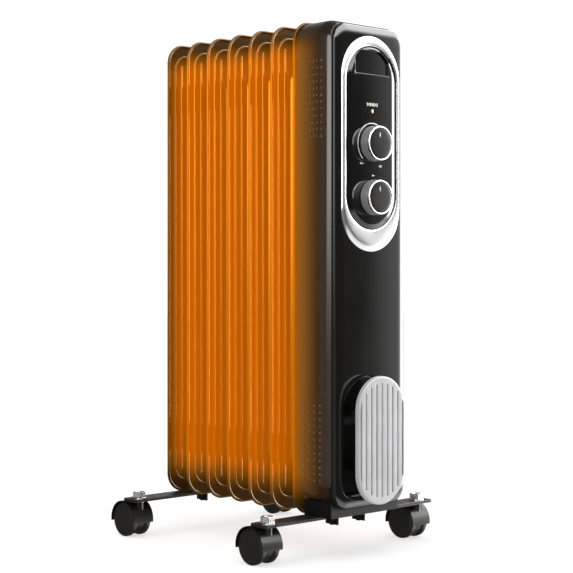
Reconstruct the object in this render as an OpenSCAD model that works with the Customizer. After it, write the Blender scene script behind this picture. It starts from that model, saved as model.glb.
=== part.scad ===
// Oil filled radiator heater: seven pressed steel fins on two oil collectors, a plastic control
// housing at the front and two foot bars on twin wheel casters.
// The origin is on the floor, under the middle of the heater. +Z is up and the front faces -Y.
// Depths inside the modules are measured back from the flat face of the front cover.

/* [Fins] */
// Width of a fin
fin_w = 115.4; // [112:0.2:118]
// Height of the fins' top edge above the floor
fin_top_z = 560; // [550:1:570]
// Height of the fins' bottom edge above the floor
fin_bottom_z = 41.6; // [41:0.2:44]
// Distance from one fin to the next
fin_pitch = 35.58; // [35:0.02:37]
// Radius of a fin's corners
fin_corner_r = 23; // [20:0.5:24]
// Thickness of each of the two steel sheets of a fin
sheet_t = 0.6; // [0.5:0.05:0.8]
// Thickness of the rolled rim
rim_t = 2.8; // [2.4:0.1:3.2]
// Outer thickness of the oil channels
channel_t = 11; // [10:0.5:12]

/* [Housing] */
// Width of the housing
housing_w = 120; // [118:0.5:124]
// Height of the housing's top above the floor
housing_top_z = 557; // [550:1:558]
// Depth of the side shell
housing_depth = 48; // [46:0.5:49]
// Wall of the side shell
shell_wall = 2; // [1.6:0.1:2.4]
// Radius of the long front corners
housing_round_r = 20; // [18:0.5:21]
// Width of the front cover
cover_w = 105.4; // [104:0.2:106]
// Height of the front cover's bottom edge
cover_bottom_z = 52.5; // [50:0.5:55]

/* [Controls] */
// Half width of the bright bezel
bezel_r = 43; // [42:0.5:44]
// Height of the thermostat knob's axis
thermostat_z = 430.1; // [428:0.1:432]
// Height of the power selector's axis
selector_z = 374.2; // [372:0.1:376]
// Radius of the knobs
knob_r = 18.4; // [17:0.1:19]
// How far the knobs stand out from the front cover
knob_proud = 15; // [14:0.5:16]
// Radius of the half moon finger grip
grip_r = 25; // [23:0.5:25.5]

/* [Cord storage] */
// Half width of the ribbed plate
plate_r = 34.1; // [32:0.1:36]
// How far the ribbed plate stands out from the front cover
plate_proud = 16.9; // [15:0.1:18]
// Inner radius of the cord gland
gland_bore_r = 3.6; // [3.2:0.1:4]

/* [Feet] */
// Length of a foot bar
bar_l = 250; // [248:1:256]
// Width of a foot bar
bar_w = 25; // [22:0.5:26]
// Distance of the caster stems from the middle
stem_x = 110.7; // [108:0.1:112]
// Radius of the caster wheels
wheel_r = 19; // [18:0.5:19]
// Distance from a caster's stem to its axle
caster_trail = 13; // [12:0.5:14]

/* [Hidden] */
$fn = 64;

// Fins and oil circuit
fin_count = 7;
first_fin_y = 56.6;
channel_wall = 0.7;
channel_side_inset = 27;
channel_end_inset = 40;
channel_corner_r = 20;
groove_x = 10.2;
groove_w = 4;
groove_end_inset = 115;
ridge_t = 4.4;
ridge_w = 2.4;
frame_ridge_side = 9.3;
frame_ridge_end = 12.4;
frame_ridge_r = 17;
long_ridge_inset = 19.8;
long_ridge_end = 24;
collector_z = [102, fin_top_z - 60.5];
collar_r = 17;
collar_bore_r = 14;
end_cap_t = 4;
neck_front_y = 28.5;
flange_r = 23;
flange_t = 3;
gasket_t = 1.5;
element_r = 3.3;
element_x = 7;
element_dz = 5;
element_back_y = 236;
terminal_y = 16.5;
terminal_half = 3;
filler_hex_r = 7;
filler_l = 4;
last_fin_y = first_fin_y + (fin_count - 1) * fin_pitch;
fin_back_y = last_fin_y + channel_t / 2;

// Housing
shell_bottom_z = 60;
shell_corner_r = 23;
seam_inset = (housing_w - cover_w) / 2;
seam_gap = 0.3;
top_seam_gap = 0.2;
lip_y = [8, 10];
lip_inset = [4.5, 15];
cover_t = 2.5;
cover_wall = 2;
cover_top_z = housing_top_z - seam_inset + 3;
cover_corner_r = 18;
cover_edge_r = 3;
saddle_half_w = 50;
saddle_wall = 3;
strap_z = [446, 458];
strap_t = 2;
strap_pad_half_w = 12;
leg_clearance_r = 4.5;

// Controls
bezel_z = [318.2, 542.2];
bezel_proud = 1.8;
bezel_lip = 3;
opening_r = 40;
chrome_in_r = 37.4;
chrome_in_z = [340.7, 531.7];
panel_back_y = 2.2;
panel_front_y = -2.4;
plateau_r = 30;
plateau_z = [346, 529];
grip_z = 502;
grip_depth = 24;
grip_wall = 1.6;
lamp_z = 464;
lamp_r = 2.2;
lamp_proud = 0.9;
lamp_body = 7;
knob_gap = 0.5;
ring_t = 2;
ring_in_r = 14.6;
ring_out_r = knob_r - 0.6;
cap_recess = 0.8;
shaft_r = 3;
shaft_hole_r = 3.4;
shaft_back_y = 18;
running = 0.05;
switch_half = 15;
switch_depth = 24;
pointer_r = 1.7;

// Tip-over switch
tip_x = -27;
tip_pin_z = 246;
tip_pin_r = 1.5;
tip_half_w = 15;
tip_bottom_z = 208;
tip_back_y = 22;
bob_r = 5;
bob_drop = 24;

// Cord storage
plate_z = [56.2, 189];
plate_t = 5.3;
groove_count = 9;
groove_step = 7.8;
plate_groove_w = 1.8;
plate_groove_t = 1.3;
plate_groove_inset = 7;
tray_r = 43;
tray_z = [62, 190];
tray_corner_r = 19;
tray_floor_y = 12;
tray_wall = 1.6;
drum_r = 20;
drum_z = [88, 157];
drum_wall = 2;
gland_y = 33;
gland_z = 92;
gland_body_r = 6;
gland_flange_r = 7.5;
gland_flange_t = 2.5;
gland_in = 10;
gland_out = 6;

// Inside wiring
wire_r = 1.5;
block_z = [276, 294];
block_half_w = 20;
block_back_y = 22.5;
cutout_r = 9;
cutout_t = 6;

// Screws
screw_x = 49;
screw_z = [110, 300, 500];
screw_r = 1.4;
screw_hole_r = 1.7;
screw_boss_r = 3.2;
screw_head_r = 3;
screw_head_t = 2.5;

// Feet
bar_t = 3;
bar_z = 40.5;
bar_corner_r = 4;
front_bar_y = 37.3;
rear_bar_y = 253.7;
u_bolt_r = 2.5;
u_bolt_gap = 0.2;
u_bolt_end_z = 31;
leg_x = collar_r + u_bolt_r + u_bolt_gap;
wing_nut_r = 5;
wing_nut_h = 6;
wing_l = 18;
wing_t = 2;
wing_h = 8;
stem_r = 4;
stem_hole_r = 4.2;
stem_top_z = 49.6;
nut_r = 7.5;
nut_flange_r = 8.6;
nut_flange_t = 1.5;
nut_h = 6.8;
pin_r = 3.2;
pin_bottom_z = 23;
collar_stem_r = 5.5;
collar_stem_t = 1.6;
hood_r = 21;
hood_band = 1.1;
hood_half_w = 13.8;
hood_skirt = 3;
web_half_t = 4.8;
web_r = 17.2;
boss_top_z = 38.5;
axle_r = 2;
axle_half_l = 12;
wheel_in_x = 5.2;
wheel_w = 8.6;
wheel_bore_l = 7.2;

// The heater is centred front to back between the plate's face and the rear casters' hoods
back_reach = rear_bar_y + caster_trail + hood_r;
front_y = -(back_reach - plate_proud) / 2;

// ---- helpers ----

// Places what is drawn in depths from the front cover's face
module from_front() {
    translate([0, front_y, 0]) children();
}

// Extrudes a front view from depth y0 back to depth y1
module slab(y0, y1) {
    translate([0, y1, 0]) rotate([90, 0, 0]) linear_extrude(y1 - y0) children();
}

// Front view of a rounded rectangle, centred across, from height z0 to z1
module round_rect(w, z0, z1, r) {
    translate([-w / 2 + r, z0]) square([w - 2 * r, z1 - z0]);
    translate([-w / 2, z0 + r]) square([w, z1 - z0 - 2 * r]);
    for (x = [-w / 2 + r, w / 2 - r], z = [z0 + r, z1 - r]) translate([x, z]) circle(r);
}

// Front view of an upright slot with round ends
module stadium(r, z) {
    translate([-r, z[0] + r]) square([2 * r, z[1] - z[0] - 2 * r]);
    for (end_z = [z[0] + r, z[1] - r]) translate([0, end_z]) circle(r);
}

// A round bar along Y at x, z from depth y0 to y1
module rod_y(r, x, z, y0, y1) {
    translate([x, y1, z]) rotate([90, 0, 0]) cylinder(r = r, h = y1 - y0);
}

// A round bar along X at y, z from x0 to x1
module rod_x(r, y, z, x0, x1) {
    translate([x0, y, z]) rotate([0, 90, 0]) cylinder(r = r, h = x1 - x0);
}

// A round bar along Z at x, y from z0 to z1
module rod_z(r, x, y, z0, z1) {
    translate([x, y, z0]) cylinder(r = r, h = z1 - z0);
}

// Carries a section round a rounded rectangle. The section's x is the distance in from the
// outline and its y is the depth.
module around(w, z0, z1, r) {
    for (side = [0, 1]) mirror([side, 0, 0])
        translate([-w / 2, 0, z0 + r]) linear_extrude(z1 - z0 - 2 * r) children();
    translate([w / 2 - r, 0, z0]) rotate([0, -90, 0]) linear_extrude(w - 2 * r) children();
    translate([r - w / 2, 0, z1]) rotate([0, 90, 0]) linear_extrude(w - 2 * r) children();
    for (corner = [[1, z0 + r, 0], [-1, z0 + r, 90], [-1, z1 - r, 180], [1, z1 - r, 270]])
        translate([corner[0] * (w / 2 - r), 0, corner[1]]) rotate([-90, 0, 0])
            rotate([0, 0, corner[2]]) rotate_extrude(angle = 90)
                translate([r, 0]) mirror([1, 0]) children();
}

// ---- fins and oil circuit ----

// Front view of a fin, pulled in by a side inset and an end inset
module fin_outline(side, end, r) {
    round_rect(fin_w - 2 * side, fin_bottom_z + end, fin_top_z - end, r);
}

// Front view of the three joined oil channels, shrunk by a wall
module channels(wall) {
    difference() {
        fin_outline(channel_side_inset + wall, channel_end_inset + wall, channel_corner_r - wall);
        for (side = [-1, 1]) translate([side * groove_x, 0])
            stadium(groove_w / 2 + wall, [fin_bottom_z + groove_end_inset - wall,
                                          fin_top_z - groove_end_inset + wall]);
    }
}

// One fin: two sheets with a rolled rim, pressed ridges and hollow oil channels
module fin(i) {
    y = first_fin_y + (i - 1) * fin_pitch;
    inner = channel_t / 2 - channel_wall;
    color([0.75, 0.38, 0.03]) from_front() translate([0, y, 0]) difference() {
        union() {
            slab(-sheet_t, sheet_t) fin_outline(0, 0, fin_corner_r);
            slab(-rim_t / 2, rim_t / 2) difference() {
                fin_outline(0, 0, fin_corner_r);
                fin_outline(rim_t, rim_t, fin_corner_r - rim_t);
            }
            slab(-ridge_t / 2, ridge_t / 2) difference() {
                fin_outline(frame_ridge_side, frame_ridge_end, frame_ridge_r);
                fin_outline(frame_ridge_side + ridge_w, frame_ridge_end + ridge_w,
                            frame_ridge_r - ridge_w);
            }
            for (side = [-1, 1])
                translate([side * (fin_w / 2 - long_ridge_inset), 0, 0]) slab(-ridge_t / 2, ridge_t / 2)
                    stadium(ridge_w / 2, [fin_bottom_z + long_ridge_end, fin_top_z - long_ridge_end]);
            slab(-channel_t / 2, channel_t / 2) channels(0);
        }
        slab(-inner, inner) channels(channel_wall);
        for (z = collector_z) rod_y(collar_bore_r, 0, z, -channel_t, channel_t);
    }
}

// Collars that join the fins on one level, with a blind cap behind the last fin
module collector(z) {
    for (i = [1 : fin_count - 1]) {
        y = first_fin_y + (i - 1) * fin_pitch + channel_t / 2;
        difference() {
            rod_y(collar_r, 0, z, y, y + fin_pitch - channel_t);
            rod_y(collar_bore_r, 0, z, y - 1, y + fin_pitch);
        }
    }
}

module top_collector() {
    color([0.5, 0.25, 0.02]) from_front() {
        collector(collector_z[1]);
        difference() {
            rod_y(collar_r, 0, collector_z[1], fin_back_y, fin_back_y + end_cap_t);
            rod_y(filler_hex_r / 2, 0, collector_z[1], fin_back_y - 1, fin_back_y + end_cap_t + 1);
        }
        rod_y(collar_r, 0, collector_z[1], first_fin_y - channel_t / 2 - end_cap_t,
              first_fin_y - channel_t / 2);
    }
}

module bottom_collector() {
    color([0.5, 0.25, 0.02]) from_front() {
        collector(collector_z[0]);
        rod_y(collar_r, 0, collector_z[0], fin_back_y, fin_back_y + end_cap_t);
        difference() {
            rod_y(collar_r, 0, collector_z[0], neck_front_y, first_fin_y - channel_t / 2);
            rod_y(collar_bore_r, 0, collector_z[0], neck_front_y - 1, first_fin_y);
        }
    }
}

// Two U shaped tubular elements that lie in the bottom collector, with flat terminals in front
module heating_elements() {
    color([0.35, 0.33, 0.32]) from_front() for (dz = [-element_dz, element_dz]) {
        z = collector_z[0] + dz;
        for (side = [-1, 1]) {
            rod_y(element_r, side * element_x, z, terminal_y + 2 * terminal_half, element_back_y);
            translate([side * element_x - terminal_half, terminal_y, z - terminal_half])
                cube([2 * terminal_half, 2 * terminal_half, 2 * terminal_half]);
        }
        translate([0, element_back_y, z]) rotate_extrude(angle = 180)
            translate([element_x, 0]) circle(element_r);
    }
}

// Steel flange that closes the bottom collector, with a hole for each element leg
module element_flange() {
    y = neck_front_y - gasket_t - flange_t;
    color("silver") from_front() difference() {
        rod_y(flange_r, 0, collector_z[0], y, y + flange_t);
        for (x = [-element_x, element_x], dz = [-element_dz, element_dz])
            rod_y(element_r, x, collector_z[0] + dz, y - 1, y + flange_t + 1);
    }
}

module element_gasket() {
    color([0.15, 0.15, 0.15]) from_front() difference() {
        rod_y(collar_r, 0, collector_z[0], neck_front_y - gasket_t, neck_front_y);
        rod_y(collar_bore_r, 0, collector_z[0], neck_front_y - gasket_t - 1, neck_front_y + 1);
    }
}

module thermal_cutout() {
    y = first_fin_y - channel_t / 2;
    color("whitesmoke") from_front()
        rod_y(cutout_r, 0, (block_z[0] + block_z[1]) / 2, y - cutout_t, y);
}

// Hexagonal plug screwed into the rear cap of the top collector
module filler_plug() {
    y = fin_back_y + end_cap_t;
    color("silver") from_front() {
        translate([0, y + filler_l, collector_z[1]]) rotate([90, 0, 0])
            cylinder(r = filler_hex_r, h = filler_l, $fn = 6);
        rod_y(filler_hex_r / 2, 0, collector_z[1], fin_back_y, y + 1);
    }
}

// ---- housing ----

// Section of the side shell: a quarter round cut off at the seam, a straight wall and a lip
module shell_section() {
    difference() {
        union() {
            intersection() {
                translate([housing_round_r, housing_round_r]) circle(housing_round_r);
                square([seam_inset, housing_round_r]);
            }
            translate([0, housing_round_r]) square([shell_wall, housing_depth - housing_round_r]);
        }
        translate([housing_round_r, housing_round_r]) circle(housing_round_r - shell_wall);
    }
    translate([lip_inset[0], lip_y[0]])
        square([lip_inset[1] - lip_inset[0], lip_y[1] - lip_y[0]]);
}

// Black shell round the sides and top, with a strap across the back that rests on the first fin
module side_shell() {
    pad_y = first_fin_y - channel_t / 2;
    clear_y = tray_floor_y + tray_wall + seam_gap;
    clear_r = tray_r + tray_wall + seam_gap;
    color([0.1, 0.09, 0.08]) from_front() difference() {
        union() {
            around(housing_w, shell_bottom_z, housing_top_z, shell_corner_r) shell_section();
            translate([-housing_w / 2 + 1, housing_depth - strap_t, strap_z[0]])
                cube([housing_w - 2, strap_t, strap_z[1] - strap_z[0]]);
            translate([-strap_pad_half_w, housing_depth - strap_t, strap_z[0]])
                cube([2 * strap_pad_half_w, pad_y - housing_depth + strap_t,
                      strap_z[1] - strap_z[0]]);
        }
        slab(-1, lip_y[0]) round_rect(cover_w - 2 * top_seam_gap, cover_bottom_z,
                                      cover_top_z + top_seam_gap, cover_corner_r);
        translate([-clear_r, -1, shell_bottom_z + 0.3])
            cube([2 * clear_r, clear_y + 1, tray_z[1] + tray_wall + 1 - shell_bottom_z]);
        for (side = [-1, 1]) {
            rod_z(leg_clearance_r, side * leg_x, front_bar_y, shell_bottom_z - 1, shell_bottom_z + 4);
            for (z = screw_z) rod_y(screw_hole_r, side * screw_x, z, 0, lip_y[1] + 1);
        }
        rod_x(gland_body_r, gland_y, gland_z, housing_w / 2 - 5, housing_w / 2 + 1);
    }
}

// Hollow block that carries the housing on the front foot bar
module foot_saddle() {
    color([0.08, 0.08, 0.08]) from_front() difference() {
        translate([-saddle_half_w, lip_y[0], bar_z + bar_t])
            cube([2 * saddle_half_w, housing_depth - lip_y[0], shell_bottom_z - bar_z - bar_t]);
        translate([saddle_wall - saddle_half_w, lip_y[0] + saddle_wall, bar_z])
            cube([2 * (saddle_half_w - saddle_wall), housing_depth - lip_y[0] - 2 * saddle_wall,
                  shell_bottom_z]);
    }
}

// Front view of the pocket behind the ribbed plate: an arch with small lower corners
module pocket(grow) {
    arch_z = tray_z[1] - tray_r;
    lower_r = tray_corner_r + grow;
    translate([0, arch_z]) circle(tray_r + grow);
    translate([-tray_r - grow, tray_z[0] + tray_corner_r])
        square([2 * (tray_r + grow), arch_z - tray_z[0] - tray_corner_r]);
    translate([-tray_r + tray_corner_r, tray_z[0] - grow])
        square([2 * (tray_r - tray_corner_r), tray_corner_r + grow + 1]);
    for (side = [-1, 1])
        translate([side * (tray_r - tray_corner_r), tray_z[0] + tray_corner_r]) circle(lower_r);
}

// Section of the front cover's edge: a rounded front corner and a wall behind it
module cover_edge_section() {
    translate([cover_edge_r, cover_edge_r]) circle(cover_edge_r);
    translate([cover_edge_r, 0]) square([cover_edge_r, cover_t]);
    translate([0, cover_edge_r]) square([cover_wall, lip_y[0] - cover_edge_r]);
}

// Front cover: a flat face with rounded edges, the pocket for the cord and the screw bosses
module front_cover() {
    inset = cover_edge_r + 2;
    color([0.12, 0.11, 0.1]) from_front() difference() {
        union() {
            around(cover_w - 2 * seam_gap, cover_bottom_z, cover_top_z, cover_corner_r)
                cover_edge_section();
            slab(0, cover_t) round_rect(cover_w - 2 * seam_gap - 2 * inset, cover_bottom_z + inset,
                                        cover_top_z - inset, cover_corner_r - inset);
            slab(0, tray_floor_y + tray_wall) pocket(tray_wall);
            for (side = [-1, 1], z = screw_z)
                rod_y(screw_boss_r, side * screw_x, z, cover_t - 1, lip_y[0]);
        }
        slab(-1, tray_floor_y) pocket(0);
        slab(-1, cover_t + 1) stadium(opening_r, [bezel_z[0] + 3, bezel_z[1] - 3]);
        for (side = [-1, 1], z = screw_z)
            rod_y(screw_r, side * screw_x, z, cover_t, lip_y[0] + 1);
    }
}

module cover_screws() {
    color("silver") from_front() for (side = [-1, 1], z = screw_z) {
        rod_y(screw_r, side * screw_x, z, cover_t, lip_y[1] + 0.5);
        rod_y(screw_head_r, side * screw_x, z, lip_y[1], lip_y[1] + screw_head_t);
    }
}

// ---- controls ----

// Front view of the half moon finger hole
module half_moon(grow) {
    intersection() {
        translate([0, grip_z]) circle(grip_r + grow);
        translate([-grip_r - grow, grip_z - grow])
            square([2 * (grip_r + grow), grip_r + 2 * grow]);
    }
}

// Bright bezel on the front cover: narrow at the sides and wide at the bottom
module panel_bezel() {
    color("gainsboro") from_front() {
        slab(-bezel_proud, 0) difference() {
            stadium(bezel_r, bezel_z);
            stadium(chrome_in_r, chrome_in_z);
        }
        slab(0, bezel_lip) difference() {
            stadium(opening_r, [bezel_z[0] + 3, bezel_z[1] - 3]);
            stadium(chrome_in_r, chrome_in_z);
        }
    }
}

// Black panel in the bezel, with a raised middle that carries the grip, lamp and knobs
module control_panel() {
    color([0.14, 0.13, 0.13]) from_front() difference() {
        union() {
            slab(0, panel_back_y) stadium(chrome_in_r, chrome_in_z);
            slab(panel_front_y, 0) stadium(plateau_r, plateau_z);
        }
        slab(panel_front_y - 1, panel_back_y + 1) half_moon(0);
        rod_y(lamp_r, 0, lamp_z, panel_front_y - 1, panel_back_y + 1);
        for (z = [thermostat_z, selector_z])
            rod_y(shaft_hole_r, 0, z, panel_front_y - 1, panel_back_y + 1);
    }
}

module grip_cup() {
    color([0.05, 0.05, 0.05]) from_front() difference() {
        slab(panel_back_y, grip_depth + grip_wall) half_moon(grip_wall);
        slab(panel_back_y - 1, grip_depth) half_moon(0);
    }
}

module power_lamp() {
    color("orange") from_front() {
        rod_y(lamp_r, 0, lamp_z, panel_front_y - lamp_proud, panel_back_y);
        translate([-lamp_body / 2, panel_back_y, lamp_z - lamp_body / 2])
            cube([lamp_body, lamp_body, lamp_body]);
    }
}

// A square switch body behind the panel, with a bearing for a knob's shaft
module switch_body(z) {
    difference() {
        translate([-switch_half, panel_back_y, z - switch_half])
            cube([2 * switch_half, switch_depth - panel_back_y, 2 * switch_half]);
        rod_y(shaft_r + running, 0, z, panel_back_y - 1, shaft_back_y + 0.5);
    }
}

module thermostat_body() {
    color("ivory") from_front() switch_body(thermostat_z);
}

module selector_switch_body() {
    color("tan") from_front() switch_body(selector_z);
}

module knob_shaft(z) {
    color("silver") from_front()
        rod_y(shaft_r, 0, z, -knob_proud + ring_t + 2, shaft_back_y);
}

// Satin skirt of a knob, hollow behind, pressed on its shaft
module knob_skirt(z) {
    front = -knob_proud + ring_t;
    color([0.55, 0.55, 0.55]) from_front() difference() {
        rod_y(knob_r, 0, z, front, panel_front_y - knob_gap);
        rod_y(knob_r - 2, 0, z, front + 3.5, panel_front_y);
        rod_y(shaft_r, 0, z, front + 2, panel_front_y);
    }
}

module knob_ring(z) {
    color("white") from_front() difference() {
        rod_y(ring_out_r, 0, z, -knob_proud, -knob_proud + ring_t);
        rod_y(ring_in_r, 0, z, -knob_proud - 1, -knob_proud + ring_t + 1);
    }
}

// Black disc in the ring, with a small raised pointer near its top
module knob_cap(z) {
    front = -knob_proud + cap_recess;
    color([0.1, 0.1, 0.1]) from_front() {
        rod_y(ring_in_r, 0, z, front, -knob_proud + ring_t);
        rod_y(pointer_r, 0, z + ring_in_r / 2, front - 0.4, front + 0.5);
    }
}

// ---- tip-over switch, terminals and wiring ----

// Plastic bracket on the back of the front cover that carries the pendulum's pin
module tip_switch() {
    color("lightgrey") from_front() {
        translate([tip_x - tip_half_w, cover_t, tip_bottom_z])
            cube([2 * tip_half_w, 3, tip_pin_z + 8 - tip_bottom_z]);
        rod_y(tip_pin_r, tip_x, tip_pin_z, cover_t + 2.5, tip_back_y);
        translate([tip_x - tip_half_w, cover_t + 2.5, tip_pin_z + 5])
            cube([2 * tip_half_w, tip_back_y - cover_t - 2.5, 3]);
    }
}

// Pendulum with a heavy bob that hangs on the pin
module tip_pendulum() {
    color("dimgrey") from_front() difference() {
        union() {
            rod_y(3, tip_x, tip_pin_z, 7, tip_back_y - 1);
            translate([tip_x - 1, 11, tip_pin_z - bob_drop]) cube([2, 6, bob_drop]);
            rod_y(bob_r, tip_x, tip_pin_z - bob_drop, 7, tip_back_y - 1);
        }
        rod_y(tip_pin_r + running, tip_x, tip_pin_z, 6, tip_back_y);
    }
}

module terminal_block() {
    color("wheat") from_front() translate([-block_half_w, cover_t, block_z[0]])
        cube([2 * block_half_w, block_back_y - cover_t, block_z[1] - block_z[0]]);
}

// Straight insulated leads between the terminal block, switches, lamp and elements
module wiring_loom() {
    lead_y = terminal_y + terminal_half;
    block_mid_z = (block_z[0] + block_z[1]) / 2;
    color("firebrick") from_front() {
        for (x = [-9, 9]) {
            rod_z(wire_r, x, 12, block_z[1], selector_z - switch_half);
            rod_z(wire_r, x, 12, selector_z + switch_half, thermostat_z - switch_half);
        }
        rod_z(wire_r / 2, 0, panel_back_y + lamp_body / 2, thermostat_z + switch_half,
              lamp_z - lamp_body / 2);
        for (x = [-element_x, element_x])
            rod_z(wire_r, x, lead_y, collector_z[0] + element_dz + terminal_half, block_z[0]);
        rod_z(wire_r, tip_x + 10, 12, tip_pin_z + 8, block_z[0]);
        rod_y(wire_r, 0, block_mid_z, block_back_y, first_fin_y - channel_t / 2 - cutout_t);
    }
}

// ---- cord storage ----

// Ribbed silver plate that keeps the wound cord in place
module cord_wrap_plate() {
    color("gainsboro") from_front() difference() {
        slab(-plate_proud, plate_t - plate_proud) stadium(plate_r, plate_z);
        for (i = [0 : groove_count - 1]) {
            x = (i - (groove_count - 1) / 2) * groove_step;
            rise = sqrt(pow(plate_r, 2) - x * x);
            z0 = plate_z[0] + plate_r - rise + plate_groove_inset;
            z1 = plate_z[1] - plate_r + rise - plate_groove_inset;
            translate([x - plate_groove_w / 2, -plate_proud - 1, z0])
                cube([plate_groove_w, plate_groove_t + 1, z1 - z0]);
        }
    }
}

// Hollow drum between the pocket's floor and the plate
module cord_wrap_drum() {
    color([0.08, 0.08, 0.08]) from_front() slab(plate_t - plate_proud, tray_floor_y) difference() {
        stadium(drum_r, drum_z);
        stadium(drum_r - drum_wall, [drum_z[0] + drum_wall, drum_z[1] - drum_wall]);
    }
}

// Flanged bushing in the right side, where the supply cord enters
module cord_gland() {
    x = housing_w / 2;
    color([0.07, 0.07, 0.07]) from_front() difference() {
        union() {
            rod_x(gland_body_r, gland_y, gland_z, x - gland_in, x + gland_out);
            rod_x(gland_flange_r, gland_y, gland_z, x, x + gland_flange_t);
        }
        rod_x(gland_bore_r, gland_y, gland_z, x - gland_in - 1, x + gland_out + 1);
    }
}

// ---- feet ----

// Flat steel bar with holes for a U-bolt and two caster stems
module foot_bar(y) {
    color([0.2, 0.2, 0.2]) from_front() difference() {
        translate([0, y, bar_z]) linear_extrude(bar_t) round_rect(bar_l, -bar_w / 2, bar_w / 2,
                                                                  bar_corner_r);
        for (side = [-1, 1]) {
            rod_z(u_bolt_r + 0.25, side * leg_x, y, bar_z - 1, bar_z + bar_t + 1);
            rod_z(stem_hole_r, side * stem_x, y, bar_z - 1, bar_z + bar_t + 1);
        }
    }
}

// U-bolts that hang the bars from the bottom collector
module foot_u_bolts() {
    color("silver") from_front() for (y = [front_bar_y, rear_bar_y]) {
        for (side = [-1, 1]) rod_z(u_bolt_r, side * leg_x, y, u_bolt_end_z, collector_z[0]);
        translate([0, y, collector_z[0]]) rotate([90, 0, 0]) rotate_extrude(angle = 180)
            translate([leg_x, 0]) circle(u_bolt_r);
    }
}

module foot_wing_nuts() {
    color("silver") from_front() for (y = [front_bar_y, rear_bar_y], side = [-1, 1]) difference() {
        union() {
            rod_z(wing_nut_r, side * leg_x, y, bar_z - wing_nut_h, bar_z);
            translate([side * leg_x - wing_t / 2, y - wing_l / 2, bar_z - wing_h - 1])
                cube([wing_t, wing_l, wing_h]);
        }
        rod_z(u_bolt_r, side * leg_x, y, u_bolt_end_z - 5, bar_z + 1);
    }
}

// Flanged hexagonal nuts that hold the caster stems
module caster_nuts() {
    z = bar_z + bar_t;
    color("silver") from_front() for (y = [front_bar_y, rear_bar_y], side = [-1, 1]) difference() {
        union() {
            translate([side * stem_x, y, z]) cylinder(r = nut_r, h = nut_h, $fn = 6);
            rod_z(nut_flange_r, side * stem_x, y, z, z + nut_flange_t);
        }
        rod_z(stem_r, side * stem_x, y, z - 1, z + nut_h + 1);
    }
}

// Threaded stems with a collar under the bar and a smooth pin for the hood
module caster_stems() {
    color("silver") from_front() for (y = [front_bar_y, rear_bar_y], side = [-1, 1]) {
        rod_z(stem_r, side * stem_x, y, bar_z, stem_top_z);
        rod_z(collar_stem_r, side * stem_x, y, bar_z - collar_stem_t, bar_z);
        rod_z(pin_r, side * stem_x, y, pin_bottom_z, bar_z);
    }
}

// Half round hood over two wheels, with a middle web and a boss that turns on the stem's pin
module caster_hood(side, bar_y) {
    axle_y = bar_y + caster_trail;
    x = side * stem_x;
    inner_r = hood_r - hood_band;
    color([0.1, 0.1, 0.1]) from_front() difference() {
        union() {
            intersection() {
                difference() {
                    rod_x(hood_r, axle_y, wheel_r, x - hood_half_w, x + hood_half_w);
                    rod_x(inner_r, axle_y, wheel_r, x - hood_half_w - 1, x - web_half_t);
                    rod_x(inner_r, axle_y, wheel_r, x + web_half_t, x + hood_half_w + 1);
                }
                translate([x - hood_half_w, axle_y - hood_r, wheel_r - hood_skirt])
                    cube([2 * hood_half_w, 2 * hood_r, hood_r + hood_skirt]);
            }
            rod_x(web_r, axle_y, wheel_r, x - web_half_t, x + web_half_t);
            rod_z(web_half_t, x, bar_y, wheel_r, boss_top_z);
        }
        rod_x(axle_r, axle_y, wheel_r, x - hood_half_w, x + hood_half_w);
        rod_z(pin_r + running, x, bar_y, pin_bottom_z - 0.4, boss_top_z + 1);
    }
}

module caster_axle(side, bar_y) {
    x = side * stem_x;
    color("silver") from_front()
        rod_x(axle_r, bar_y + caster_trail, wheel_r, x - axle_half_l, x + axle_half_l);
}

// One wheel, turned from its inner face out to a slightly domed outer face with a closed hub
module caster_wheel(side, bar_y, out) {
    color([0.08, 0.08, 0.08]) from_front()
        translate([side * stem_x + out * wheel_in_x, bar_y + caster_trail, wheel_r])
            rotate([0, out * 90, 0]) rotate_extrude() polygon([
                [axle_r + running, 0],
                [wheel_r - 1.2, 0],
                [wheel_r, 1.2],
                [wheel_r, wheel_w - 2.4],
                [wheel_r - 1.2, wheel_w - 1.2],
                [wheel_r - 3, wheel_w - 0.8],
                [wheel_r / 2, wheel_w],
                [0, wheel_w],
                [0, wheel_bore_l],
                [axle_r + running, wheel_bore_l]
            ]);
}

// ---- what is drawn ----

for (i = [1 : fin_count]) fin(i);
top_collector();
bottom_collector();
heating_elements();
element_flange();
element_gasket();
thermal_cutout();
filler_plug();
front_cover();
side_shell();
foot_saddle();
control_panel();
panel_bezel();
grip_cup();
power_lamp();
thermostat_body();
selector_switch_body();
tip_switch();
tip_pendulum();
cord_wrap_plate();
cord_wrap_drum();
cord_gland();
cover_screws();
terminal_block();
wiring_loom();
for (k = [["thermostat", thermostat_z], ["selector", selector_z]]) {
    knob_shaft(k[1]);
    knob_skirt(k[1]);
    knob_ring(k[1]);
    knob_cap(k[1]);
}
foot_bar(front_bar_y);  // front_foot_bar
foot_bar(rear_bar_y);  // rear_foot_bar
foot_u_bolts();
foot_wing_nuts();
caster_nuts();
caster_stems();
for (bar = [["front", front_bar_y], ["rear", rear_bar_y]], side = [["left", -1], ["right", 1]]) {
    place = str(bar[0], "_", side[0]);
    caster_hood(side[1], bar[1]);
    caster_axle(side[1], bar[1]);
    caster_wheel(side[1], bar[1], side[1]);
    caster_wheel(side[1], bar[1], -side[1]);
}
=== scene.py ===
"""Finished visual model of the oil filled radiator heater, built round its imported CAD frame."""

import math

import bmesh
import bpy
from bpy.props import FloatProperty, FloatVectorProperty, IntProperty, PointerProperty
from mathutils import Matrix, Vector


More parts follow.
